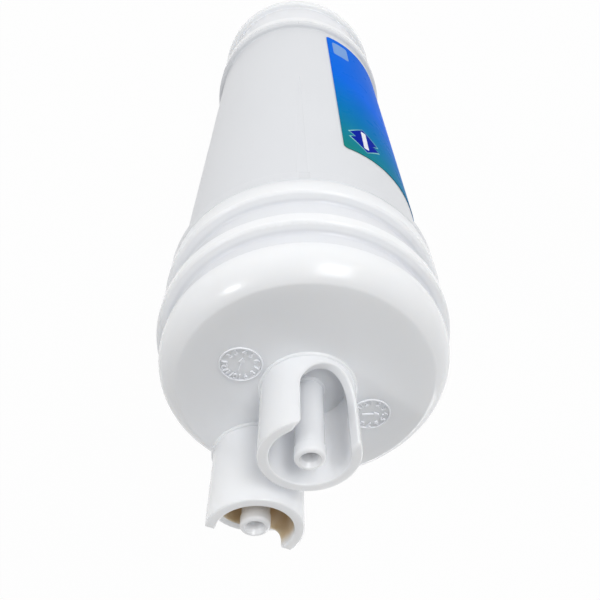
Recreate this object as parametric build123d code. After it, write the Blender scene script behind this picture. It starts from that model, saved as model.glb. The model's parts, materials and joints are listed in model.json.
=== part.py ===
from build123d import *
import os

# Inline sediment filter: a welded white plastic cartridge with both water ports on its upper end.
# Millimetres, +Z up, origin on the axis at the middle of the closed end's face.

# Body
body_length = 218.5        # closed end face to port face
tube_d = 60.8
tube_wall = 2.6
end_wall = 3.6             # flat wall behind each end face

# Both end collars, from the end face towards the tube; a rise is over the tube's outside, a drop under it
shoulder_run = 4.1         # end face's edge to the shoulder's outside
shoulder_drop = 0.1
shoulder_h = 6.8
shoulder_band = 1.2
end_groove_drop = 1.2
end_groove_w = 5.0
bead_rise = 1.5
flange_rise = 1.6
tube_flange_w = 4.0        # share of each flange that belongs to the tube
ring_round = 0.8           # outer corners of the rings
groove_round = 0.6         # corners at the foot of the rings
crease_round = 1.0         # edge between end face and shoulder
cap_lip = 1.8              # cap's bore inside the tube's bore

# Collar of the port cap
port_bead_w = 3.8
port_clip_groove_drop = 1.0
port_clip_groove_w = 8.8
port_flange_w = 5.4

# Collar of the base cap, with a longer grip
base_bead_w = 5.5
base_clip_groove_drop = 0.4
base_clip_groove_w = 24.5
base_flange_w = 6.5

# Weld joint between cap and tube
tongue_w = 1.4
tongue_h = 2.0
weld_clearance = 0.1
weld_vee = 0.35

# Water ports: the outlet on the axis, the inlet beside it along +X
inlet_overhang = 0.9       # inlet shroud past the shoulder's outside
shroud_d = 19.2
shroud_wall = 2.0
outlet_shroud_h = 17.5
inlet_shroud_h = 19.0
shroud_edge_round = 0.3
foot_round = 0.5           # sweep where shroud and nipple meet the face
window_cheek = 1.7         # shroud's bore to each side of the outlet's arched window
window_sill = 1.8          # port face to the lowest point of the arch
window_corner = 0.9        # where a window's side meets the rim
scoop_reach = 3.0          # port axis to the upright side of the inlet's scoop
scoop_floor = 12.2         # port face to the scoop's floor
scoop_round = 5.5
nipple_foot_d = 6.2
nipple_neck_d = 5.6        # below the bead at the tip
nipple_tip_d = 6.0
nipple_tip_w = 2.4
nipple_tip_round = 0.7
nipple_h = 18.2
nipple_bore_d = 3.2
nipple_mouth_d = 4.2
nipple_mouth_h = 0.9

# Outlet socket inside the port cap and the spigot that enters it
socket_d = 12.0
socket_wall = 2.6
socket_h = 11.0            # below the inner face of the cap
spigot_clearance = 0.15
spigot_tip_gap = 1.5
spigot_bore_d = 5.0
spigot_chamfer = 0.8
seal_section = 1.8
seal_groove_w = 2.3
seal_pitch = 4.2
seal_slack = 0.02
seal_count = 2

# Filter element and what holds it
flow_gap = 1.1             # end plates to the caps' bore
element_bore_d = 22.4
core_wall = 1.6
core_clearance = 0.2
core_windows_round = 4
core_window_rows = 9
core_window_w = 10.0
core_bar_h = 6.0           # ring of wall between two rows of windows
plate_t = 2.5
plate_skirt_wall = 1.2
plate_skirt_h = 5.0
plate_clearance = 0.2
plate_gap = 0.5            # socket end to outlet plate
pin_d = 12.0
pin_h = 12.0
pin_bore_d = 7.0
pin_chamfer = 0.8
pin_clearance = 0.2
boss_wall = 2.0
rib_count = 6
rib_t = 2.0
rib_h = 6.0
rib_gap = 6.0              # cap's bore to a rib's outer end

# Printed label
label_t = 0.15
label_glue = 0.1           # adhesive between tube and film
label_top_gap = 21.0       # upper flange to the label's upper edge
label_low_gap = 5.0        # lower flange to the label's lower edge
label_start = 72.0         # degrees about +Z from +X
label_span = 118.0
label_corner = 1.5

# Levels and radii worked out from the sizes above
tube_r = tube_d / 2
tube_bore_r = tube_r - tube_wall
cap_bore_r = tube_bore_r - cap_lip
shoulder_r = tube_r - shoulder_drop
end_face_r = shoulder_r - shoulder_run
end_groove_r = tube_r - end_groove_drop
bead_r = tube_r + bead_rise
flange_r = tube_r + flange_rise
band_end = shoulder_h + shoulder_band
bead_start = band_end + end_groove_w
port_collar_h = bead_start + port_bead_w + port_clip_groove_w + port_flange_w
base_collar_h = bead_start + base_bead_w + base_clip_groove_w + base_flange_w
tube_low = base_collar_h
tube_high = body_length - port_collar_h
tongue_r = tube_bore_r + (tube_wall - tongue_w) / 2
shroud_r = shroud_d / 2
shroud_bore_r = shroud_r - shroud_wall
port_spacing = shoulder_r + inlet_overhang - shroud_r
socket_r = socket_d / 2
spigot_r = socket_r - spigot_clearance
seal_groove_r = socket_r - seal_section
ceiling = body_length - end_wall
socket_mouth = ceiling - socket_h
outlet_plate_top = socket_mouth - plate_gap
outlet_plate_low = outlet_plate_top - plate_t
closed_plate_low = end_wall + rib_h
closed_plate_top = closed_plate_low + plate_t
skirt_r = cap_bore_r - flow_gap
skirt_bore_r = skirt_r - plate_skirt_wall
element_r = skirt_bore_r - plate_clearance
core_r = element_bore_d / 2 - core_clearance
core_bore_r = core_r - core_wall
pin_hole_r = pin_d / 2 + pin_clearance
boss_r = pin_hole_r + boss_wall


def turned(outline, rounds=()):
    """Turn a closed outline of (radius, height) points about Z; rounds lists (points, radius) pairs."""
    section = make_face(Polyline(*outline, close=True))
    return revolve(Plane.XZ * rounded(section, rounds), Axis.Z)


def rounded(section, rounds):
    """Round the named corners of a flat section."""
    for points, radius in rounds:
        corners = [section.vertices().sort_by_distance(Vector(*point))[0] for point in points]
        section = fillet(corners, radius)
    return section


def ring(outer_r, inner_r, low, high):
    """Plain turned ring."""
    return turned([(inner_r, low), (outer_r, low), (outer_r, high), (inner_r, high)])


def disc(radius, low, high):
    """Plain turned disc."""
    return Pos(0, 0, low) * Cylinder(radius, high - low, align=(Align.CENTER, Align.CENTER, Align.MIN))


def collar(bead_w, clip_groove_drop, clip_groove_w, flange_w):
    """Stepped outside of an end cap, solid, with its end face at z = 0 and its weld face on top."""
    bead_end = bead_start + bead_w
    flange_start = bead_end + clip_groove_w
    weld_level = flange_start + flange_w
    clip_groove_r = tube_r - clip_groove_drop
    rings = Polyline(
        (shoulder_r, shoulder_h),
        (shoulder_r, band_end),
        (end_groove_r, band_end),
        (end_groove_r, bead_start),
        (bead_r, bead_start),
        (bead_r, bead_end),
        (clip_groove_r, bead_end),
        (clip_groove_r, flange_start),
        (flange_r, flange_start),
        (flange_r, weld_level - weld_vee),
        (flange_r - weld_vee, weld_level),
        (0, weld_level),
        (0, 0),
        (end_face_r, 0),
    )
    shoulder = TangentArc((shoulder_r, shoulder_h), (end_face_r, 0), tangent=(0, -1))
    crowns = [(bead_r, bead_start), (bead_r, bead_end), (flange_r, flange_start)]
    feet = [(end_groove_r, bead_start), (clip_groove_r, bead_end), (clip_groove_r, flange_start)]
    band_step = [(shoulder_r, band_end), (end_groove_r, band_end)]
    step_round = (shoulder_r - end_groove_r) / 3
    crease = [(end_face_r, 0)]
    section = rounded(
        make_face(rings + shoulder),
        [(crowns, ring_round), (feet, groove_round), (band_step, step_round), (crease, crease_round)],
    )
    return revolve(Plane.XZ * section, Axis.Z)


def cap_cavity(weld_level):
    """Space inside an end cap, with the groove that takes the tube's weld tongue."""
    bore = disc(cap_bore_r, end_wall, weld_level)
    groove = ring(
        tongue_r + tongue_w + weld_clearance,
        tongue_r - weld_clearance,
        weld_level - tongue_h - weld_clearance,
        weld_level,
    )
    return bore + groove


def arched_window():
    """Deep window open to -X, with a round sill and sides that flare at the rim."""
    half = shroud_bore_r - window_cheek
    flare = half + window_corner
    arch_level = window_sill + half
    rim = outlet_shroud_h
    corner_level = rim - window_corner
    top = rim + window_corner
    edge = Curve() + [
        Line((half, arch_level), (half, corner_level)),
        TangentArc((half, corner_level), (flare, rim), tangent=(0, 1)),
        Polyline((flare, rim), (flare, top), (-flare, top), (-flare, rim)),
        TangentArc((-half, corner_level), (-flare, rim), tangent=(0, 1)),
        Line((-half, corner_level), (-half, arch_level)),
        ThreePointArc((-half, arch_level), (0, window_sill), (half, arch_level)),
    ]
    facing = Plane(origin=(0, 0, 0), x_dir=(0, -1, 0), z_dir=(-1, 0, 0))
    return extrude(facing * make_face(edge), shroud_d)


def scooped_window():
    """Shallow scoop open to -X, across the whole shroud, with a hollow corner at its floor."""
    rim = inlet_shroud_h
    corner_level = rim - window_corner
    top = rim + window_corner
    bend = min(scoop_round, corner_level - scoop_floor - window_corner / 3)
    lip = scoop_reach - window_corner
    edge = Curve() + [
        TangentArc((-scoop_reach, corner_level), (-lip, rim), tangent=(0, 1)),
        Line((-scoop_reach, corner_level), (-scoop_reach, scoop_floor + bend)),
        TangentArc((-scoop_reach, scoop_floor + bend), (-scoop_reach - bend, scoop_floor), tangent=(0, -1)),
        Polyline(
            (-scoop_reach - bend, scoop_floor),
            (-shroud_d - bend, scoop_floor),
            (-shroud_d - bend, top),
            (-lip, top),
            (-lip, rim),
        ),
    ]
    return extrude(Plane.XZ * make_face(edge), shroud_r, both=True)


def shroud(height, window):
    """Round port shroud standing on z = 0, with its window cut and every open edge rounded."""
    wall = ring(shroud_r, shroud_bore_r, 0, height) - window
    edge_round = min(shroud_edge_round, window_corner / 3, shroud_wall / 5)
    return fillet(wall.edges().filter_by(on_open_edge), edge_round)


def on_open_edge(edge):
    """True for the edges of the shroud's rim and window, which follow its outer or inner face."""
    start, end = edge @ 0, edge @ 1
    follows_wall = abs(Vector(start.X, start.Y).length - Vector(end.X, end.Y).length) < shroud_wall / 2
    is_seam = edge.geom_type == GeomType.LINE and edge.center().X > 0
    return follows_wall and not is_seam and edge.center().Z > window_sill / 2


def foot(radius):
    """Swept foot where a round wall of this outer radius leaves the face, sunk into the collar below."""
    spread = radius + foot_round
    side = Polyline((radius, foot_round), (0, foot_round), (0, -band_end), (spread, -band_end), (spread, 0))
    sweep = RadiusArc((radius, foot_round), (spread, 0), foot_round)
    return revolve(Plane.XZ * make_face(side + sweep), Axis.Z)


def nipple():
    """Port nipple standing on z = 0, tapered to a rounded bead at its tip, with no bore yet."""
    foot_r, neck_r, tip_r = nipple_foot_d / 2, nipple_neck_d / 2, nipple_tip_d / 2
    tip_low = nipple_h - nipple_tip_w
    step = tip_r - neck_r
    outline = [
        (0, 0),
        (foot_r, 0),
        (foot_r, foot_round),
        (neck_r, tip_low - step),
        (tip_r, tip_low),
        (tip_r, nipple_h),
        (0, nipple_h),
    ]
    return turned(outline, [([(tip_r, nipple_h)], nipple_tip_round)])


def nipple_bore():
    """Water passage down a nipple, with its flared mouth."""
    bore_r, mouth_r = nipple_bore_d / 2, nipple_mouth_d / 2
    low = -end_wall
    mouth_low = nipple_h - nipple_mouth_h
    return turned([(0, low), (bore_r, low), (bore_r, mouth_low), (mouth_r, nipple_h), (0, nipple_h)])


def port(height, window):
    """One water port standing on z = 0, its shroud of this height and its window towards -X."""
    hollow = disc(shroud_bore_r, 0, height)
    base = foot(shroud_r) - hollow
    return base + shroud(height, window) + foot(nipple_foot_d / 2) + nipple()


def upright(shape):
    """Carry a shape built at the closed end over to the port end."""
    return Pos(0, 0, body_length) * mirror(shape, Plane.XY)


def make_port_cap():
    """Cap with the outlet on the axis, its window away from the inlet, and the inlet scooped outwards."""
    outlet = Pos(0, 0, body_length)
    inlet = Pos(port_spacing, 0, body_length) * Rot(0, 0, 180)
    cap = upright(collar(port_bead_w, port_clip_groove_drop, port_clip_groove_w, port_flange_w))
    cap += outlet * port(outlet_shroud_h, arched_window())
    cap += inlet * port(inlet_shroud_h, scooped_window())
    cap -= upright(cap_cavity(port_collar_h))
    cap += ring(socket_r + socket_wall, 0, socket_mouth, ceiling)
    cap -= disc(socket_r, socket_mouth, ceiling)
    for place in (outlet, inlet):
        cap -= place * nipple_bore()
    return cap


def make_housing_tube():
    """Straight tube with half a flange and a weld tongue at each end."""
    outline = [
        (tube_bore_r, tube_low),
        (flange_r - weld_vee, tube_low),
        (flange_r, tube_low + weld_vee),
        (flange_r, tube_low + tube_flange_w),
        (tube_r, tube_low + tube_flange_w),
        (tube_r, tube_high - tube_flange_w),
        (flange_r, tube_high - tube_flange_w),
        (flange_r, tube_high - weld_vee),
        (flange_r - weld_vee, tube_high),
        (tube_bore_r, tube_high),
    ]
    crowns = [outline[3], outline[6]]
    feet = [outline[4], outline[5]]
    tube = turned(outline, [(crowns, ring_round), (feet, groove_round)])
    tube += ring(tongue_r + tongue_w, tongue_r, tube_low - tongue_h, tube_low)
    tube += ring(tongue_r + tongue_w, tongue_r, tube_high, tube_high + tongue_h)
    return tube


def make_base_cap():
    """Closed end cap with the pin that centres the element and the ribs that carry it."""
    outside = collar(base_bead_w, base_clip_groove_drop, base_clip_groove_w, base_flange_w)
    cap = outside - cap_cavity(base_collar_h)
    pin_r, pin_top = pin_d / 2, end_wall + pin_h
    pin = disc(pin_r, end_wall, pin_top)
    cap += chamfer(pin.edges().group_by(Axis.Z)[-1], pin_chamfer)
    rib_reach = cap_bore_r - rib_gap
    rib = Pos(rib_reach / 2, 0, end_wall) * Box(
        rib_reach, rib_t, rib_h, align=(Align.CENTER, Align.CENTER, Align.MIN)
    )
    cap += PolarLocations(0, rib_count) * rib
    return cap - disc(pin_bore_d / 2, end_wall, pin_top)


def make_sediment_element():
    return ring(element_r, element_bore_d / 2, closed_plate_top, outlet_plate_low)


def make_support_core():
    """Tube with rows of windows all round, standing between the two end plates."""
    height = outlet_plate_low - closed_plate_top
    core = ring(core_r, core_bore_r, closed_plate_top, outlet_plate_low)
    window_h = (height - core_bar_h) / core_window_rows - core_bar_h
    pitch = window_h + core_bar_h
    first = closed_plate_top + core_bar_h + window_h / 2
    window = Pos(core_r, 0, 0) * Box(core_r, core_window_w, window_h)
    for level in range(core_window_rows):
        core -= Pos(0, 0, first + pitch * level) * PolarLocations(0, core_windows_round) * window
    return core


def make_outlet_end_plate():
    """Upper end plate with a skirt round the element and a grooved spigot in the outlet socket."""
    spigot_top = ceiling - spigot_tip_gap
    plate = disc(skirt_r, outlet_plate_low, outlet_plate_top)
    plate += ring(skirt_r, skirt_bore_r, outlet_plate_low - plate_skirt_h, outlet_plate_low)
    spigot = disc(spigot_r, outlet_plate_top, spigot_top)
    plate += chamfer(spigot.edges().group_by(Axis.Z)[-1], spigot_chamfer)
    for level in seal_levels():
        plate -= ring(socket_r, seal_groove_r, level - seal_groove_w / 2, level + seal_groove_w / 2)
    return plate - disc(spigot_bore_d / 2, outlet_plate_low, spigot_top)


def seal_levels():
    """Heights of the spigot's sealing rings, the lowest half a pitch above the socket's mouth."""
    return [socket_mouth + seal_pitch * (index + 0.5) for index in range(seal_count)]


def make_spigot_seals():
    section_r = seal_section / 2
    seal = Torus(seal_groove_r + section_r, section_r - seal_slack)
    return Compound([Pos(0, 0, level) * seal for level in seal_levels()])


def make_closed_end_plate():
    """Lower end plate with a skirt round the element and a blind boss over the base cap's pin."""
    hole_top = end_wall + pin_h + pin_clearance
    plate = disc(skirt_r, closed_plate_low, closed_plate_top)
    plate += ring(skirt_r, skirt_bore_r, closed_plate_top, closed_plate_top + plate_skirt_h)
    plate += disc(boss_r, closed_plate_top, hole_top + boss_wall)
    return plate - disc(pin_hole_r, closed_plate_low, hole_top)


def make_label():
    """Film wrapped round part of the tube between the flanges, with rounded corners."""
    inner_r = tube_r + label_glue
    outer_r = inner_r + label_t
    low = tube_low + tube_flange_w + label_low_gap
    high = tube_high - tube_flange_w - label_top_gap
    outline = Polyline((inner_r, low), (outer_r, low), (outer_r, high), (inner_r, high), close=True)
    film = Rot(0, 0, label_start) * revolve(Plane.XZ * make_face(outline), Axis.Z, label_span)
    corners = film.edges().filter_by(lambda edge: edge.length < 2 * label_t).group_by(Axis.Z)
    return fillet(corners[0] + corners[-1], label_corner)


pieces = {
    "port_cap": make_port_cap,
    "housing_tube": make_housing_tube,
    "base_cap": make_base_cap,
    "sediment_element": make_sediment_element,
    "support_core": make_support_core,
    "outlet_end_plate": make_outlet_end_plate,
    "closed_end_plate": make_closed_end_plate,
    "spigot_seals": make_spigot_seals,
    "label": make_label,
}

os.makedirs("parts", exist_ok=True)
for name, make in pieces.items():
    export_step(make(), f"parts/{name}.step")
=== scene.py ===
import json
import math

import bmesh
import bpy
from bpy.props import FloatProperty, FloatVectorProperty, IntProperty, PointerProperty
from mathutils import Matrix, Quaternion, Vector


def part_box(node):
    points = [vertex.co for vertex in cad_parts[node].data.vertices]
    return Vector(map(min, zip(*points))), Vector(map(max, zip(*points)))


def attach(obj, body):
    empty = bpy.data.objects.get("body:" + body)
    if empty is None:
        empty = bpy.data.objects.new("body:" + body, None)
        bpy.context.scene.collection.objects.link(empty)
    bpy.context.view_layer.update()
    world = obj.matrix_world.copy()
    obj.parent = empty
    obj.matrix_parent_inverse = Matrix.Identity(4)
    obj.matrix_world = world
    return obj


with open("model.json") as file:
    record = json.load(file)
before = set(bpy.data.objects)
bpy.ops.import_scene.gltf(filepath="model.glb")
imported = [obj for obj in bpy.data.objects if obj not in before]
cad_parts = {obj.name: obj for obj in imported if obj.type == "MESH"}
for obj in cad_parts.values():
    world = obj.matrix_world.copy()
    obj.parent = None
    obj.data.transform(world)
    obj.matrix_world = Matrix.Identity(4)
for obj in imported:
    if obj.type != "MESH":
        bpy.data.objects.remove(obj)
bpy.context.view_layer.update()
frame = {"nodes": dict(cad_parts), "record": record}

bl_info = {
    "name": "Inline Filter Cartridge",
    "version": (1, 0, 0),
    "blender": (4, 5, 0),
    "location": "3D View > Sidebar > Filter",
    "description": "Finishes a white inline water filter cartridge and sets it on a pale studio stage",
    "category": "Object",
}

BODY = "root"

# Port face to the inlet shroud's rim, the highest place on the part, in metres
SHROUD_HEIGHT = 0.019

# Places read from the frame, in metres
NODES = frame["nodes"]
MOUNTS = {mount["name"]: Vector(mount["pos_m"]) for mount in frame["record"]["mounts"]}
OUTLET, INLET = MOUNTS["outlet_nipple"], MOUNTS["inlet_nipple"]
RIM_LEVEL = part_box("port_cap")[1].z
FACE_LEVEL = RIM_LEVEL - SHROUD_HEIGHT
LABEL_LOW, LABEL_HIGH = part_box("label")[0].z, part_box("label")[1].z
LABEL_RADIUS = max(math.hypot(v.co.x, v.co.y) for v in NODES["label"].data.vertices)


def colour(name, description, default):
    """A colour setting, linear RGB."""
    return FloatVectorProperty(name=name, description=description, default=default, size=3,
                               min=0.0, max=1.0, subtype="COLOR")


def length(name, description, default):
    """A length setting in metres."""
    return FloatProperty(name=name, description=description, default=default, unit="LENGTH", precision=5)


def turn(name, description, degrees):
    """An angle setting, written in degrees."""
    return FloatProperty(name=name, description=description, default=math.radians(degrees), subtype="ANGLE")


def share(name, description, default):
    """A setting from 0 to 1."""
    return FloatProperty(name=name, description=description, default=default, min=0.0, max=1.0,
                         subtype="FACTOR")


def place(name, description, default):
    """A point or offset in metres."""
    return FloatVectorProperty(name=name, description=description, default=default, size=3,
                               subtype="TRANSLATION", unit="LENGTH")


def level(name, description, default):
    """A lamp's power in watts, or a plain strength."""
    return FloatProperty(name=name, description=description, default=default, min=0.0)


class FilterFinish(bpy.types.PropertyGroup):
    """Colours and gloss of the plastics, the fibre and the rubber."""

    housing: colour("Housing", "Moulded polypropylene of both caps", (0.91, 0.924, 0.956))
    housing_gloss: share("Housing roughness", "Middle roughness of the caps", 0.23)
    # Painted shade at the bottom of the collars' grooves; this and the next three settings set it
    groove_shade: share("Painted groove shade", "Tone of the thin wall at the bottom of a collar's groove", 0.9)
    groove_radius: length("Groove radius", "Axis to just above the bottom of a groove", 0.0297)
    groove_from: length("Groove start", "End face to the first groove", 0.0078)
    groove_fade: length("Groove fade", "Distance over which the groove's tone goes", 0.0008)
    # Painted shade: a warm tan inside the inlet shroud, where it lies in shadow and takes light through the
    # wall; this and the next four settings set it
    stain: colour("Inlet stain", "Tan film left by water inside the inlet shroud", (0.6, 0.47, 0.29))
    stain_wall: length("Shade radius", "Inlet axis to the shroud's bore", 0.0077)
    stain_clear: length("Clean radius", "Inlet axis to where the stain starts, past the nipple", 0.0033)
    stain_fade: length("Shade fade", "Height below the rim over which the stain comes in", 0.003)
    stain_edge: length("Shade edge", "Softness of the stain's other limits", 0.000231)
    tube: colour("Tube", "Extruded polypropylene of the tube", (0.75, 0.764, 0.79))
    tube_gloss: share("Tube roughness", "Middle roughness of the tube", 0.3)
    tube_wear: share("Tube wear", "How far the drawn lines change the tube's roughness", 0.03)
    line_shade: share("Line shade", "Tone of the tube's darkest drawn lines", 0.992)
    inner: colour("Inner plastic", "Natural polypropylene of core and end plates", (0.8, 0.8, 0.78))
    inner_gloss: share("Inner roughness", "Middle roughness of core and end plates", 0.46)
    inner_wear: share("Inner wear", "How far the drawn lines change that roughness", 0.06)
    fibre: colour("Fibre", "Melt-blown fibre of the element", (0.86, 0.86, 0.83))
    fibre_shade: share("Fibre shade", "Tone between the fibres", 0.82)
    rubber: colour("Rubber", "Black nitrile of the sealing rings", (0.02, 0.02, 0.021))


class FilterDial(bpy.types.PropertyGroup):
    """Sizes of the two date dials moulded into the port face."""

    offset: length("Offset", "Outlet axis to a dial's middle, along Y", 0.015)
    radius: length("Radius", "Outside of the dial's raised rim", 0.0043)
    rim_width: length("Rim width", "Width of the raised rim", 0.00034)
    rim_height: length("Rim height", "Rim above the port face", 0.0004)
    rim_round: length("Rim rounding", "Width of the bevel on the rim's edges", 0.000085)
    numeral_ring: length("Numeral ring", "Dial's middle to the middle of a numeral", 0.0031)
    numeral_size: length("Numeral size", "Type size of the numerals", 0.0018)
    numeral_height: length("Numeral height", "Numerals above the port face", 0.0004)
    numerals: IntProperty(name="Numerals", description="Plain numbers round a dial", default=12, min=1)
    pointer_length: length("Pointer length", "Tail to tip of the pointer", 0.0036)
    pointer_width: length("Pointer width", "Width of the pointer's shaft", 0.0003)
    pointer_barb: length("Pointer barb", "Width of the pointer's head", 0.0011)
    first_turn: turn("First pointer", "Direction of the pointer on the dial at -Y", 193.0)
    second_turn: turn("Second pointer", "Direction of the pointer on the dial at +Y", 118.0)


class FilterLabel(bpy.types.PropertyGroup):
    """Colours and sizes of the printed label."""

    blue: colour("Blue", "Label's colour at its lower end", (0.001, 0.155, 0.82))
    middle: colour("Middle", "Colour between blue and green", (0.001, 0.19, 0.5))
    green: colour("Green", "Label's colour at its upper end", (0.014, 0.25, 0.22))
    middle_angle: turn("Middle angle", "Direction of the label's middle about +Z", 131.0)
    half_span: turn("Half span", "Label's middle to its side edge", 59.0)
    fade_low: length("Fade start", "Below the label's upper edge, where the blue ends", 0.062)
    fade_lag: length("Fade lag", "How much later the green comes at the label's middle", 0.03)
    film_gloss: share("Film roughness", "Middle roughness of the film", 0.29)
    film_wear: share("Film wear", "How far the film's roughness changes", 0.03)
    grain_shade: share("Grain shade", "Tone of the darkest print", 0.96)
    navy: colour("Navy", "Ink of the flow arrow", (0.002, 0.018, 0.36))
    outline: colour("Outline", "Thin line round the flow arrow", (0.28, 0.62, 0.6))
    paper: colour("Paper", "Bar on the flow arrow", (0.86, 0.89, 0.95))
    pale: colour("Pale", "Blank patch near the label's lower edge", (0.22, 0.4, 0.78))
    arrow_angle: turn("Arrow angle", "Direction of the flow arrow about +Z", 177.2)
    arrow_drop: length("Arrow drop", "Label's upper edge to the arrow's waist", 0.0105)
    arrow_reach: length("Arrow reach", "Waist to a tip", 0.0075)
    arrow_waist: length("Arrow waist", "Half the arrow's width at its waist", 0.0028)
    arrow_barb: length("Arrow barb", "Half the arrow's width at its barbs", 0.0045)
    barb_rise: length("Barb rise", "Waist to the barbs", 0.0017)
    outline_width: length("Outline width", "Width of the line round the arrow", 0.00024)
    bar_width: length("Bar width", "Width of the bar on the arrow", 0.0015)
    bar_length: length("Bar length", "Length of the bar on the arrow", 0.0112)
    bar_corner: length("Bar corner", "Corner radius of the bar", 0.0003)
    patch_angle: turn("Patch angle", "Direction of the blank patch about +Z", 180.5)
    patch_rise: length("Patch rise", "Label's lower edge to the middle of the patch", 0.0125)
    patch_width: length("Patch width", "Width of the blank patch", 0.0062)
    patch_height: length("Patch height", "Height of the blank patch", 0.015)
    patch_corner: length("Patch corner", "Corner radius of the blank patch", 0.0014)
    ink: length("Ink", "Thickness of one layer of print", 0.00003)
    wrap_step: length("Wrap step", "Spacing of the cuts that let print follow the tube", 0.0007)


class FilterStage(bpy.types.PropertyGroup):
    """Camera, lamps and floor."""

    eye: place("Camera", "Camera from the middle of the port face", (-0.0816, -0.0487, 0.0992))
    gaze_turn: turn("Gaze direction", "Direction of view about +Z", 40.72)
    gaze_drop: turn("Gaze drop", "Direction of view below the horizon", 55.33)
    roll: turn("Roll", "Turn of the picture about the direction of view", 170.08)
    lens: FloatProperty(name="Lens", description="Focal length on a 36 mm sensor", default=39.9)
    shift_x: FloatProperty(name="Shift X", description="Sideways shift of the picture", default=-0.1167)
    shift_y: FloatProperty(name="Shift Y", description="Upward shift of the picture", default=-0.04)
    floor_size: length("Floor size", "Side of the square floor", 6.0)
    floor_colour: colour("Floor colour", "Pale floor", (0.94, 0.94, 0.94))
    floor_white: share("Floor white", "How far the floor shows as plain white", 0.97)
    horizon: level("Horizon", "Strength of the even light near the horizon", 0.85)
    zenith: level("Zenith", "Strength of the even light overhead", 0.05)
    key_power: level("Key power", "Soft lamp to the right of the camera", 8.7)
    key_turn: turn("Key direction", "Direction of the key lamp about +Z", 190.0)
    key_rise: turn("Key rise", "Key lamp above the horizon", 25.0)
    key_size: length("Key size", "Width of the key lamp", 0.46)
    key_height: length("Key height", "Height of the key lamp", 0.85)
    fill_power: level("Fill power", "Smaller lamp to the left of the camera", 3.3)
    fill_turn: turn("Fill direction", "Direction of the fill lamp about +Z", 262.5)
    fill_rise: turn("Fill rise", "Fill lamp above the horizon", 27.0)
    fill_size: length("Fill size", "Width of the fill lamp", 0.13)
    fill_height: length("Fill height", "Height of the fill lamp", 0.3)
    back_power: level("Back power", "Broad lamp behind the part", 6.0)
    back_turn: turn("Back direction", "Direction of the back lamp about +Z", 55.0)
    back_rise: turn("Back rise", "Back lamp above the horizon", 12.0)
    back_size: length("Back size", "Width of the back lamp", 0.9)
    back_height: length("Back height", "Height of the back lamp", 0.9)
    lamp_distance: length("Lamp distance", "Port end to a lamp", 1.4)


def settings(context):
    """The four groups of settings."""
    scene = context.scene
    return scene.filter_finish, scene.filter_dial, scene.filter_label, scene.filter_stage


def opaque(rgb):
    """A colour with full alpha, as sockets take it."""
    return (*rgb, 1.0)


# Shader helpers

# The stretch of a noise's values that is put to use
NOISE_LOW, NOISE_HIGH = 0.3, 0.7
# Scale of a noise along Z that draws it out into lines
LINE_STRETCH = 0.012
# Depth of moulded plastic's orange peel, in metres
PEEL_DEPTH = 0.0001


def add_node(tree, kind, inputs=(), **fields):
    """Add a node, set its fields, then fill its inputs by name with a value or link."""
    node = tree.nodes.new(kind)
    for field, value in fields.items():
        setattr(node, field, value)
    for name, value in dict(inputs).items():
        if isinstance(value, bpy.types.NodeSocket):
            tree.links.new(value, node.inputs[name])
        else:
            node.inputs[name].default_value = value
    return node


def object_point(tree):
    """Object coordinates, in metres in the part's frame."""
    return tree.nodes.new("ShaderNodeTexCoord").outputs["Object"]


def noise(tree, vector, scale, detail):
    """A noise value about 0.5."""
    inputs = {"Vector": vector, "Scale": scale, "Detail": detail}
    return add_node(tree, "ShaderNodeTexNoise", inputs).outputs["Fac"]


def ranged(tree, value, low, high, to_low, to_high, smooth=False):
    """Carry a value from one range to another, held at both ends."""
    inputs = {"Value": value, "From Min": low, "From Max": high, "To Min": to_low, "To Max": to_high}
    kind = "SMOOTHSTEP" if smooth else "LINEAR"
    return add_node(tree, "ShaderNodeMapRange", inputs, interpolation_type=kind).outputs["Result"]


def varied(tree, value, low, high):
    """Let a noise value vary a setting between two ends."""
    return ranged(tree, value, NOISE_LOW, NOISE_HIGH, low, high)


def combine(tree, operation, first, second):
    """One step of arithmetic on two values."""
    return add_node(tree, "ShaderNodeMath", {0: first, 1: second}, operation=operation).outputs[0]


def blended(tree, factor, first, second, blend="MIX"):
    """Mix two colours."""
    node = add_node(tree, "ShaderNodeMix", data_type="RGBA", blend_type=blend)
    for name, value in (("Factor_Float", factor), ("A_Color", first), ("B_Color", second)):
        socket = next(s for s in node.inputs if s.identifier == name)
        if isinstance(value, bpy.types.NodeSocket):
            tree.links.new(value, socket)
        else:
            socket.default_value = value
    return next(s for s in node.outputs if s.identifier == "Result_Color")


def new_group(name, inputs, outputs):
    """An empty shader group with named sockets; inputs lists (name, kind, default)."""
    group = bpy.data.node_groups.new(name, "ShaderNodeTree")
    for socket, kind, default in inputs:
        made = group.interface.new_socket(socket, in_out="INPUT", socket_type=kind)
        made.default_value = default
    for socket, kind in outputs:
        group.interface.new_socket(socket, in_out="OUTPUT", socket_type=kind)
    return group, group.nodes.new("NodeGroupInput").outputs, group.nodes.new("NodeGroupOutput").inputs


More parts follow.
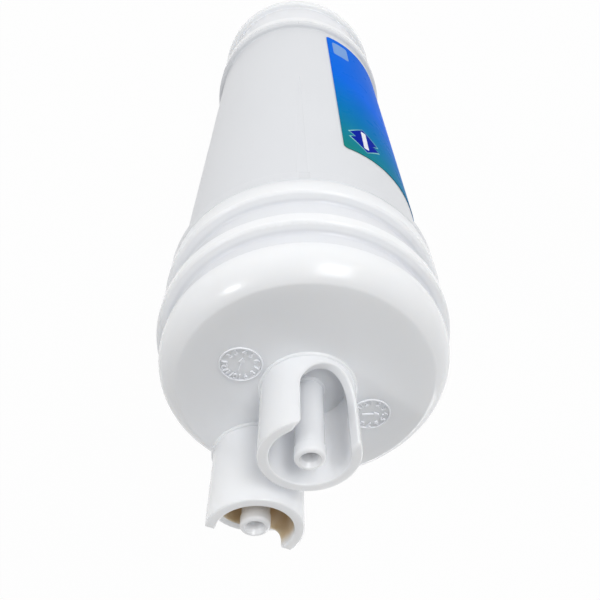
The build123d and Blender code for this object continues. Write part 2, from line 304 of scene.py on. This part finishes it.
def moulded_skin():
    """Cloudy tone, uneven gloss and a fine orange peel, as on moulded plastic."""
    name = "Moulded skin"
    if name in bpy.data.node_groups:
        return bpy.data.node_groups[name]
    values = [("Colour", "NodeSocketColor", (0.8, 0.8, 0.8, 1.0)), ("Tone depth", "NodeSocketFloat", 0.02),
              ("Gloss", "NodeSocketFloat", 0.3), ("Gloss spread", "NodeSocketFloat", 0.05)]
    results = [("Colour", "NodeSocketColor"), ("Roughness", "NodeSocketFloat"), ("Height", "NodeSocketFloat")]
    group, given, result = new_group(name, values, results)
    point = object_point(group)
    cloud = noise(group, point, scale=22.0, detail=2.0)
    dark = combine(group, "SUBTRACT", 1.0, given["Tone depth"])
    tone = varied(group, cloud, dark, 1.0)
    group.links.new(blended(group, 1.0, given["Colour"], tone, "MULTIPLY"), result["Colour"])
    patch = noise(group, point, scale=120.0, detail=2.0)
    shiny = combine(group, "SUBTRACT", given["Gloss"], given["Gloss spread"])
    dull = combine(group, "ADD", given["Gloss"], given["Gloss spread"])
    group.links.new(varied(group, patch, shiny, dull), result["Roughness"])
    group.links.new(noise(group, point, scale=700.0, detail=2.0), result["Height"])
    return group


def drawn_lines():
    """Faint lines along Z, as a die leaves on drawn tube."""
    name = "Drawn lines"
    if name in bpy.data.node_groups:
        return bpy.data.node_groups[name]
    values = [("Line scale", "NodeSocketFloat", 420.0)]
    group, given, result = new_group(name, values, [("Lines", "NodeSocketFloat")])
    along_z = {"Vector": object_point(group), "Scale": (1.0, 1.0, LINE_STRETCH)}
    drawn_out = add_node(group, "ShaderNodeMapping", along_z).outputs["Vector"]
    group.links.new(noise(group, drawn_out, scale=given["Line scale"], detail=1.0), result["Lines"])
    return group


def new_material(name, **sockets):
    """A material with a Principled shader, its plain values set on the shader's own sockets."""
    made = bpy.data.materials.new(name)
    made.use_nodes = True
    shader = made.node_tree.nodes["Principled BSDF"]
    for socket, value in sockets.items():
        shader.inputs[socket.replace("_", " ").title().replace("Ior", "IOR")].default_value = value
    return made, made.node_tree, shader


def use_group(tree, group, **values):
    """Place a shared group in a material with its own values."""
    node = add_node(tree, "ShaderNodeGroup", node_tree=group)
    for name, value in values.items():
        node.inputs[name.replace("_", " ").capitalize()].default_value = value
    return node.outputs


def add_bump(tree, shader, height, strength, distance):
    """Send a height to the shader as bump."""
    bump = add_node(tree, "ShaderNodeBump", {"Height": height, "Strength": strength, "Distance": distance})
    tree.links.new(bump.outputs["Normal"], shader.inputs["Normal"])


def skin_material(name, rgb, gloss, peel, tone=0.015, spread=0.025, **sockets):
    """A plain moulded material made from the shared skin."""
    made, tree, shader = new_material(name, **sockets)
    values = {"colour": opaque(rgb), "tone_depth": tone, "gloss": gloss, "gloss_spread": spread}
    skin = use_group(tree, moulded_skin(), **values)
    tree.links.new(skin["Colour"], shader.inputs["Base Color"])
    tree.links.new(skin["Roughness"], shader.inputs["Roughness"])
    add_bump(tree, shader, skin["Height"], strength=peel, distance=PEEL_DEPTH)
    return made, tree, shader, skin


def dress(nodes, material):
    """Give CAD nodes one material in all their slots."""
    for name in nodes:
        for slot in NODES[name].material_slots:
            slot.material = material


# Finishes of the CAD nodes

POLYPROPYLENE_IOR = 1.49
# Strength of the caps' orange peel
CAP_PEEL = 0.02
# Nearly matt, because white surroundings would wash the print out
PRINT_SHINE = 0.001
# Thick polypropylene lets some light through
TRANSLUCENT = {
    "subsurface_weight": 0.6,
    "subsurface_radius": (1.0, 0.95, 0.9),
    "subsurface_scale": 0.004,
    "ior": POLYPROPYLENE_IOR,
}


def around_axis(tree, axis):
    """Distance from an upright axis through a point, and the height."""
    place_on_axis = {"Vector": object_point(tree), "Location": (-axis.x, -axis.y, 0.0)}
    centred = add_node(tree, "ShaderNodeMapping", place_on_axis)
    parts = add_node(tree, "ShaderNodeSeparateXYZ", {"Vector": centred.outputs["Vector"]}).outputs
    flat = add_node(tree, "ShaderNodeCombineXYZ", {"X": parts["X"], "Y": parts["Y"]}).outputs["Vector"]
    radius = add_node(tree, "ShaderNodeVectorMath", {0: flat}, operation="LENGTH").outputs["Value"]
    return radius, parts["Z"]


def groove_tone(tree, finish, plain):
    """Painted shade: slightly greyer plastic at the bottom of the collars' grooves, where shade falls."""
    radius, height = around_axis(tree, OUTLET)
    fade = finish.groove_fade
    deep = ranged(tree, radius, finish.groove_radius, finish.groove_radius + fade, 1.0, 0.0, smooth=True)
    middle = FACE_LEVEL / 2
    off_middle = combine(tree, "ABSOLUTE", combine(tree, "SUBTRACT", height, middle), 0.0)
    first = middle - finish.groove_from
    past_shoulder = ranged(tree, off_middle, first - fade, first, 1.0, 0.0, smooth=True)
    mask = combine(tree, "MULTIPLY", deep, past_shoulder)
    # Painted shade: greyer plastic where the mask marks a groove
    tone = ranged(tree, mask, 0.0, 1.0, 1.0, finish.groove_shade)
    return blended(tree, 1.0, plain, tone, "MULTIPLY")


def housing_plastic(finish):
    """White moulded polypropylene of both caps, with painted shade in the collars' grooves."""
    made, tree, shader, skin = skin_material("housing_polypropylene", finish.housing, finish.housing_gloss,
                                             CAP_PEEL, **TRANSLUCENT)
    # The caps' colour carries the painted groove shade from here on
    white = groove_tone(tree, finish, skin["Colour"])
    tree.links.new(white, shader.inputs["Base Color"])
    return made, tree, shader, white


def stained_plastic(finish):
    """The housing's plastic with painted warm shade inside the inlet shroud."""
    made, tree, shader, white = housing_plastic(finish)
    made.name = "housing_polypropylene_stained"
    # Painted warm shade: its mask covers the bore past the nipple, fades in below the rim and is made uneven
    # by noise
    radius, height = around_axis(tree, INLET)
    edge = finish.stain_edge
    inside = ranged(tree, radius, finish.stain_wall, finish.stain_wall + edge, 1.0, 0.0)
    outside = ranged(tree, radius, finish.stain_clear, finish.stain_clear + edge, 0.0, 1.0)
    below = ranged(tree, height, RIM_LEVEL - finish.stain_fade, RIM_LEVEL, 1.0, 0.0, smooth=True)
    above = ranged(tree, height, FACE_LEVEL - edge, FACE_LEVEL, 0.0, 1.0)
    blotch = noise(tree, object_point(tree), scale=320.0, detail=4.0)
    mask = varied(tree, blotch, low=0.75, high=1.0)
    for limit in (inside, outside, below, above):
        mask = combine(tree, "MULTIPLY", mask, limit)
    tree.links.new(blended(tree, mask, white, opaque(finish.stain)), shader.inputs["Base Color"])
    return made


def tube_plastic(finish):
    """White extruded polypropylene with faint lines along the tube."""
    made, tree, shader, skin = skin_material("tube_polypropylene", finish.tube, finish.tube_gloss, peel=0.03,
                                             specular_ior_level=0.12, ior=POLYPROPYLENE_IOR)
    lines = use_group(tree, drawn_lines(), line_scale=110.0)["Lines"]
    worn = varied(tree, lines, finish.tube_gloss - finish.tube_wear, finish.tube_gloss + finish.tube_wear)
    tree.links.new(worn, shader.inputs["Roughness"])
    shade = varied(tree, lines, finish.line_shade, 1.0)
    tree.links.new(blended(tree, 1.0, skin["Colour"], shade, "MULTIPLY"), shader.inputs["Base Color"])
    return made


def fibre_felt(finish):
    """Melt-blown fibre wound into a thick soft wall."""
    made, tree, shader = new_material("melt_blown_fibre", roughness=0.9, sheen_weight=0.3)
    fine = noise(tree, object_point(tree), scale=900.0, detail=6.0)
    tone = varied(tree, fine, finish.fibre_shade, 1.0)
    tree.links.new(blended(tree, 1.0, opaque(finish.fibre), tone, "MULTIPLY"), shader.inputs["Base Color"])
    add_bump(tree, shader, fine, strength=0.7, distance=0.0006)
    return made


def inner_plastic(finish):
    """Natural polypropylene of the core and the end plates."""
    made, tree, shader, _ = skin_material("natural_polypropylene", finish.inner, finish.inner_gloss, peel=0.1)
    lines = use_group(tree, drawn_lines(), line_scale=500.0)["Lines"]
    worn = varied(tree, lines, finish.inner_gloss - finish.inner_wear, finish.inner_gloss + finish.inner_wear)
    tree.links.new(worn, shader.inputs["Roughness"])
    return made


def printed_film(print_set):
    """Film that fades from blue to green towards its upper edge and its sides."""
    made, tree, shader = new_material("printed_film", specular_ior_level=PRINT_SHINE)
    turned = add_node(tree, "ShaderNodeMapping",
                      {"Vector": object_point(tree), "Rotation": (0.0, 0.0, -print_set.middle_angle)})
    parts = add_node(tree, "ShaderNodeSeparateXYZ", {"Vector": turned.outputs["Vector"]}).outputs
    around = combine(tree, "ARCTAN2", parts["Y"], parts["X"])
    off_middle = combine(tree, "ABSOLUTE", around, 0.0)
    lag = ranged(tree, off_middle, 0.0, print_set.half_span, print_set.fade_lag, 0.0)
    height = combine(tree, "SUBTRACT", parts["Z"], lag)
    fade = ranged(tree, height, LABEL_HIGH - print_set.fade_low, LABEL_HIGH, 0.0, 1.0)
    ramp = add_node(tree, "ShaderNodeValToRGB", {"Fac": fade})
    stops = ramp.color_ramp.elements
    stops[0].color, stops[1].color = opaque(print_set.blue), opaque(print_set.green)
    stops.new(0.5).color = opaque(print_set.middle)
    grain = varied(tree, noise(tree, object_point(tree), scale=60.0, detail=1.0), print_set.grain_shade, 1.0)
    tree.links.new(blended(tree, 1.0, ramp.outputs["Color"], grain, "MULTIPLY"), shader.inputs["Base Color"])
    patchy = noise(tree, object_point(tree), scale=160.0, detail=2.0)
    shiny, dull = print_set.film_gloss - print_set.film_wear, print_set.film_gloss + print_set.film_wear
    tree.links.new(varied(tree, patchy, shiny, dull), shader.inputs["Roughness"])
    return made


def ink(name, rgb):
    """One colour of print, slightly uneven."""
    return skin_material(name, rgb, gloss=0.3, peel=0.02, tone=0.05, spread=0.03,
                         specular_ior_level=PRINT_SHINE)[0]


# Modelling helpers


def start_piece():
    """Leave nothing selected, so that operators act only on what is added next."""
    if bpy.context.object and bpy.context.object.mode != "OBJECT":
        bpy.ops.object.mode_set(mode="OBJECT")
    bpy.ops.object.select_all(action="DESELECT")


def pick(kind, test):
    """In edit mode, select only the edges or faces whose middle passes the test."""
    bpy.ops.mesh.select_mode(type=kind)
    bpy.ops.mesh.select_all(action="DESELECT")
    data = bpy.context.edit_object.data
    mesh = bmesh.from_edit_mesh(data)
    for item in mesh.edges if kind == "EDGE" else mesh.faces:
        middle = sum((corner.co for corner in item.verts), Vector()) / len(item.verts)
        item.select_set(bool(test(middle)))
    bmesh.update_edit_mesh(data)


def apply_place(piece):
    """Put a piece's place into its mesh."""
    bpy.context.view_layer.objects.active = piece
    bpy.ops.object.transform_apply(location=True, rotation=True, scale=True)


def apply_modifier(piece, kind, **fields):
    """Add a modifier, set it and apply it."""
    modifier = piece.modifiers.new(kind.title(), kind)
    for field, value in fields.items():
        setattr(modifier, field, value)
    bpy.context.view_layer.objects.active = piece
    bpy.ops.object.modifier_apply(modifier=modifier.name)


def plate(width, height):
    """A flat rectangle about the origin, in edit mode."""
    start_piece()
    bpy.ops.mesh.primitive_plane_add(size=1.0)
    bpy.ops.object.mode_set(mode="EDIT")
    bpy.ops.transform.resize(value=(width, height, 1.0))
    return bpy.context.edit_object


def finish_piece(piece, name, material):
    """Name a piece, give it its finish and let it ride on the body."""
    piece.name = piece.data.name = name
    piece.data.materials.clear()
    piece.data.materials.append(material)
    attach(piece, BODY)


# Date dials


def dial_rim(dial):
    """Raised round rim with soft edges, standing on z = 0."""
    start_piece()
    bpy.ops.mesh.primitive_circle_add(vertices=96, radius=dial.radius, fill_type="NGON")
    disc = bpy.context.object
    bpy.ops.object.mode_set(mode="EDIT")
    bpy.ops.mesh.select_all(action="SELECT")
    bpy.ops.mesh.inset(thickness=dial.rim_width)
    pick("FACE", lambda middle: middle.xy.length < dial.radius / 2)
    bpy.ops.mesh.delete(type="FACE")
    bpy.ops.object.mode_set(mode="OBJECT")
    apply_modifier(disc, "SOLIDIFY", thickness=dial.rim_height, offset=1.0)
    apply_modifier(disc, "BEVEL", width=dial.rim_round, segments=2, limit_method="ANGLE")
    return disc


def pointer(dial, direction):
    """Slim arrow through the dial's middle, pointing along a direction."""
    head = dial.pointer_barb
    shaft = dial.pointer_length - head
    arrow = plate(shaft, dial.pointer_width)
    bpy.ops.transform.translate(value=(-head / 2, 0.0, 0.0))
    pick("EDGE", lambda middle: middle.x > 0.0)
    bpy.ops.mesh.extrude_edges_move()
    bpy.ops.transform.resize(value=(1.0, head / dial.pointer_width, 1.0))
    bpy.ops.mesh.extrude_edges_move(TRANSFORM_OT_translate={"value": (head, 0.0, 0.0)})
    bpy.ops.mesh.merge(type="CENTER")
    bpy.ops.object.mode_set(mode="OBJECT")
    apply_modifier(arrow, "SOLIDIFY", thickness=dial.numeral_height, offset=1.0)
    arrow.rotation_euler.z = direction
    apply_place(arrow)
    return arrow


def numeral(dial, number, direction):
    """One raised number, upright towards the dial's rim."""
    start_piece()
    bpy.ops.object.text_add()
    text = bpy.context.object
    text.data.body = str(number)
    text.data.size = dial.numeral_size
    text.data.extrude = dial.numeral_height
    text.data.resolution_u = 3
    text.data.align_x, text.data.align_y = "CENTER", "CENTER"
    bpy.ops.object.convert(target="MESH")
    text.location = Quaternion((0, 0, 1), direction) @ Vector((0.0, dial.numeral_ring, 0.0))
    text.rotation_euler.z = direction
    apply_place(text)
    return text


def date_dial(dial, name, side, direction, material):
    """A dial moulded into the port face: rim, plain numbers and a pointer, joined to one piece."""
    parts = [dial_rim(dial), pointer(dial, direction)]
    for index in range(dial.numerals):
        parts.append(numeral(dial, index + 1, direction - math.tau * index / dial.numerals))
    start_piece()
    for part in parts:
        part.select_set(True)
    bpy.context.view_layer.objects.active = parts[0]
    bpy.ops.object.join()
    made = bpy.context.object
    made.location = (OUTLET.x, OUTLET.y + side * dial.offset, FACE_LEVEL)
    apply_place(made)
    bpy.ops.object.shade_smooth_by_angle(angle=math.radians(35))
    finish_piece(made, name, material)


# Print on the label

# How far the arrow's sharp corners move out for an outline of width 1
BARB_GROWTH, TIP_GROWTH = 2.2, 1.6


def score(piece, step):
    """Cut a flat shape across at even steps, so that it can bend."""
    bpy.ops.object.mode_set(mode="EDIT")
    half = piece.dimensions.x / 2
    count = max(2, math.ceil(2 * half / step))
    for index in range(1, count):
        bpy.ops.mesh.select_all(action="SELECT")
        across = half * (2 * index / count - 1)
        bpy.ops.mesh.bisect(plane_co=(across, 0.0, 0.0), plane_no=(1.0, 0.0, 0.0))
    bpy.ops.object.mode_set(mode="OBJECT")


def wrap(piece, print_set, layer, direction, height):
    """Bend a flat shape round the label, on its own layer of ink."""
    bpy.ops.object.mode_set(mode="OBJECT")
    bpy.context.view_layer.update()
    score(piece, print_set.wrap_step)
    piece.rotation_euler.x = math.radians(90)
    apply_place(piece)
    radius = LABEL_RADIUS + print_set.ink * layer
    apply_modifier(piece, "SIMPLE_DEFORM", deform_method="BEND", deform_axis="Z",
                   angle=piece.dimensions.x / radius)
    apply_modifier(piece, "SOLIDIFY", thickness=print_set.ink, offset=1.0)
    piece.location = (0.0, -radius, height)
    apply_place(piece)
    piece.rotation_euler.z = direction + math.radians(90)
    apply_place(piece)
    bpy.ops.object.shade_smooth_by_angle(angle=math.radians(30))


def double_arrow(waist, barb, rise, reach):
    """Flat arrow with a head at each end, its waist on the origin, in edit mode."""
    arrow = plate(2 * waist, rise)
    bpy.ops.transform.translate(value=(0.0, rise / 2, 0.0))
    pick("EDGE", lambda middle: middle.y > rise * 0.9)
    bpy.ops.transform.resize(value=(barb / waist, 1.0, 1.0))
    bpy.ops.mesh.extrude_edges_move(TRANSFORM_OT_translate={"value": (0.0, reach - rise, 0.0)})
    bpy.ops.mesh.merge(type="CENTER")
    bpy.ops.object.mode_set(mode="OBJECT")
    apply_modifier(arrow, "MIRROR", use_axis=(False, True, False), use_mirror_merge=True)
    return arrow


def flow_arrow(print_set):
    """Navy double arrow with a thin outline and a plain bar, near the label's upper edge."""
    height = LABEL_HIGH - print_set.arrow_drop
    direction = print_set.arrow_angle
    line = print_set.outline_width
    waist, barb, rise, reach = (print_set.arrow_waist, print_set.arrow_barb, print_set.barb_rise,
                                print_set.arrow_reach)
    rim = double_arrow(waist + line, barb + BARB_GROWTH * line, rise + line / 2, reach + TIP_GROWTH * line)
    wrap(rim, print_set, 0, direction, height)
    finish_piece(rim, "flow_arrow_outline", ink("outline_ink", print_set.outline))
    arrow = double_arrow(waist, barb, rise, reach)
    wrap(arrow, print_set, 1, direction, height)
    finish_piece(arrow, "flow_arrow", ink("navy_ink", print_set.navy))
    bar = plate(print_set.bar_width, print_set.bar_length)
    bpy.ops.mesh.bevel(affect="VERTICES", offset=print_set.bar_corner, segments=3)
    wrap(bar, print_set, 2, direction, height)
    finish_piece(bar, "flow_arrow_bar", ink("paper_white", print_set.paper))


def blank_patch(print_set):
    """Plain pale patch with round corners near the label's lower edge."""
    patch = plate(print_set.patch_width, print_set.patch_height)
    bpy.ops.mesh.bevel(affect="VERTICES", offset=print_set.patch_corner, segments=6)
    wrap(patch, print_set, 0, print_set.patch_angle, LABEL_LOW + print_set.patch_rise)
    finish_piece(patch, "label_patch", ink("pale_ink", print_set.pale))


# Stage


def shown_white(tree, lit, strength):
    """Show plain white to camera, mirror and glass rays, and the lit shader to all other light."""
    path = tree.nodes.new("ShaderNodeLightPath").outputs
    seen = combine(tree, "MAXIMUM", path["Is Camera Ray"], path["Is Glossy Ray"])
    seen = combine(tree, "MAXIMUM", seen, path["Is Transmission Ray"])
    amount = combine(tree, "MULTIPLY", seen, strength)
    white = add_node(tree, "ShaderNodeEmission", {"Color": (1.0, 1.0, 1.0, 1.0), "Strength": 1.0})
    mixed = add_node(tree, "ShaderNodeMixShader", {"Fac": amount})
    tree.links.new(lit, mixed.inputs[1])
    tree.links.new(white.outputs["Emission"], mixed.inputs[2])
    return mixed.outputs["Shader"]


def pale_floor(stage):
    """Large pale floor that keeps the part's shadow."""
    start_piece()
    bpy.ops.mesh.primitive_plane_add(size=stage.floor_size)
    floor = bpy.context.object
    floor.name = "floor"
    made = bpy.data.materials.new("pale_floor")
    made.use_nodes = True
    # Its white is only shown, so it is no lamp
    made.cycles.emission_sampling = "NONE"
    tree = made.node_tree
    tree.nodes.remove(tree.nodes["Principled BSDF"])
    lit = add_node(tree, "ShaderNodeBsdfDiffuse", {"Color": opaque(stage.floor_colour)})
    shader = shown_white(tree, lit.outputs["BSDF"], stage.floor_white)
    tree.links.new(shader, tree.nodes["Material Output"].inputs["Surface"])
    floor.data.materials.append(made)


def even_light(stage):
    """Light all round, brighter near the horizon than overhead, seen as plain white."""
    world = bpy.data.worlds.new("studio")
    bpy.context.scene.world = world
    world.use_nodes = True
    tree = world.node_tree
    lit = tree.nodes["Background"]
    lit.inputs["Color"].default_value = (1.0, 1.0, 1.0, 1.0)
    direction = tree.nodes.new("ShaderNodeTexCoord").outputs["Generated"]
    height = add_node(tree, "ShaderNodeSeparateXYZ", {"Vector": direction}).outputs["Z"]
    strength = ranged(tree, height, 0.0, 1.0, stage.horizon, stage.zenith)
    tree.links.new(strength, lit.inputs["Strength"])
    shader = shown_white(tree, lit.outputs["Background"], 1.0)
    tree.links.new(shader, tree.nodes["World Output"].inputs["Surface"])


def pointing(direction, rise):
    """Unit vector at an angle about +Z and an angle above the horizon."""
    level_part = math.cos(rise)
    return Vector((math.cos(direction) * level_part, math.sin(direction) * level_part, math.sin(rise)))


def soft_lamp(stage, name):
    """Oblong lamp facing the port end, from its own settings on the stage."""
    power, width, height, direction, rise = (
        getattr(stage, f"{name}_{setting}") for setting in ("power", "size", "height", "turn", "rise"))
    ray = pointing(direction, rise)
    start_piece()
    bpy.ops.object.light_add(type="AREA", location=OUTLET + ray * stage.lamp_distance)
    lamp = bpy.context.object
    lamp.name = name
    lamp.data.shape = "RECTANGLE"
    lamp.data.energy = power
    lamp.data.size = width
    lamp.data.size_y = height
    lamp.rotation_euler = ray.to_track_quat("Z", "Y").to_euler()


def photo_camera(stage):
    """Camera at the photograph's place, looking down past the ports."""
    start_piece()
    face = Vector((OUTLET.x, OUTLET.y, FACE_LEVEL))
    bpy.ops.object.camera_add(location=face + Vector(stage.eye))
    camera = bpy.context.object
    gaze = pointing(stage.gaze_turn, -stage.gaze_drop)
    camera.rotation_mode = "QUATERNION"
    camera.rotation_quaternion = gaze.to_track_quat("-Z", "Y") @ Quaternion((0, 0, 1), stage.roll)
    camera.data.sensor_width = 36.0
    camera.data.lens = stage.lens
    camera.data.shift_x, camera.data.shift_y = stage.shift_x, stage.shift_y
    camera.data.clip_start = 0.01
    bpy.context.scene.camera = camera


# Operators, one for each piece or group of like pieces


class FILTER_OT_finish_caps(bpy.types.Operator):
    """Give both end caps their moulded plastic"""

    bl_idname = "filter_part.finish_caps"
    bl_label = "Finish caps"

    def execute(self, context):
        finish = settings(context)[0]
        dress(["base_cap"], housing_plastic(finish)[0])
        # The port cap also carries painted warm shade inside its inlet
        dress(["port_cap"], stained_plastic(finish))
        return {"FINISHED"}


class FILTER_OT_finish_tube(bpy.types.Operator):
    """Give the tube its extruded plastic"""

    bl_idname = "filter_part.finish_tube"
    bl_label = "Finish tube"

    def execute(self, context):
        dress(["housing_tube"], tube_plastic(settings(context)[0]))
        return {"FINISHED"}


class FILTER_OT_finish_inside(bpy.types.Operator):
    """Finish the element, the core, the end plates and the sealing rings"""

    bl_idname = "filter_part.finish_inside"
    bl_label = "Finish inside"

    def execute(self, context):
        finish = settings(context)[0]
        dress(["sediment_element"], fibre_felt(finish))
        dress(["support_core", "outlet_end_plate", "closed_end_plate"], inner_plastic(finish))
        rubber = skin_material("nitrile_rubber", finish.rubber, gloss=0.5, peel=0.15)[0]
        dress(["spigot_seals"], rubber)
        return {"FINISHED"}


class FILTER_OT_print_label(bpy.types.Operator):
    """Print the label's colours, its flow arrow and its blank patch"""

    bl_idname = "filter_part.print_label"
    bl_label = "Print label"

    def execute(self, context):
        print_set = settings(context)[2]
        dress(["label"], printed_film(print_set))
        flow_arrow(print_set)
        blank_patch(print_set)
        return {"FINISHED"}


class FILTER_OT_mould_dials(bpy.types.Operator):
    """Mould the two date dials into the port face"""

    bl_idname = "filter_part.mould_dials"
    bl_label = "Mould dials"

    def execute(self, context):
        finish, dial = settings(context)[:2]
        plastic = skin_material("dial_polypropylene", finish.housing, finish.housing_gloss, CAP_PEEL,
                                ior=POLYPROPYLENE_IOR)[0]
        date_dial(dial, "date_dial_first", -1.0, dial.first_turn, plastic)
        date_dial(dial, "date_dial_second", 1.0, dial.second_turn, plastic)
        return {"FINISHED"}


class FILTER_OT_set_stage(bpy.types.Operator):
    """Set the floor, the light and the camera"""

    bl_idname = "filter_part.set_stage"
    bl_label = "Set stage"

    def execute(self, context):
        stage = settings(context)[3]
        pale_floor(stage)
        even_light(stage)
        for name in ("key", "fill", "back"):
            soft_lamp(stage, name)
        photo_camera(stage)
        context.scene.view_settings.view_transform = "Standard"
        return {"FINISHED"}


STEPS = (FILTER_OT_finish_caps, FILTER_OT_finish_tube, FILTER_OT_finish_inside, FILTER_OT_print_label,
         FILTER_OT_mould_dials, FILTER_OT_set_stage)


class FILTER_PT_steps(bpy.types.Panel):
    """Lists the steps that finish the cartridge"""

    bl_idname = "FILTER_PT_steps"
    bl_label = "Filter cartridge"
    bl_space_type = "VIEW_3D"
    bl_region_type = "UI"
    bl_category = "Filter"

    def draw(self, context):
        for step in STEPS:
            self.layout.operator(step.bl_idname)


GROUPS = {"filter_finish": FilterFinish, "filter_dial": FilterDial, "filter_label": FilterLabel,
          "filter_stage": FilterStage}


def register():
    for cls in (*GROUPS.values(), *STEPS, FILTER_PT_steps):
        bpy.utils.register_class(cls)
    for name, group in GROUPS.items():
        setattr(bpy.types.Scene, name, PointerProperty(type=group))


def unregister():
    for name in GROUPS:
        delattr(bpy.types.Scene, name)
    for cls in reversed((*GROUPS.values(), *STEPS, FILTER_PT_steps)):
        bpy.utils.unregister_class(cls)


def write_sizes():
    """Bring the view layer up to date."""
    bpy.context.view_layer.update()


def main():
    register()
    bpy.ops.filter_part.finish_caps()
    bpy.ops.filter_part.finish_tube()
    bpy.ops.filter_part.finish_inside()
    bpy.ops.filter_part.print_label()
    bpy.ops.filter_part.mould_dials()
    bpy.ops.filter_part.set_stage()
    write_sizes()


if __name__ == "__main__":
    main()
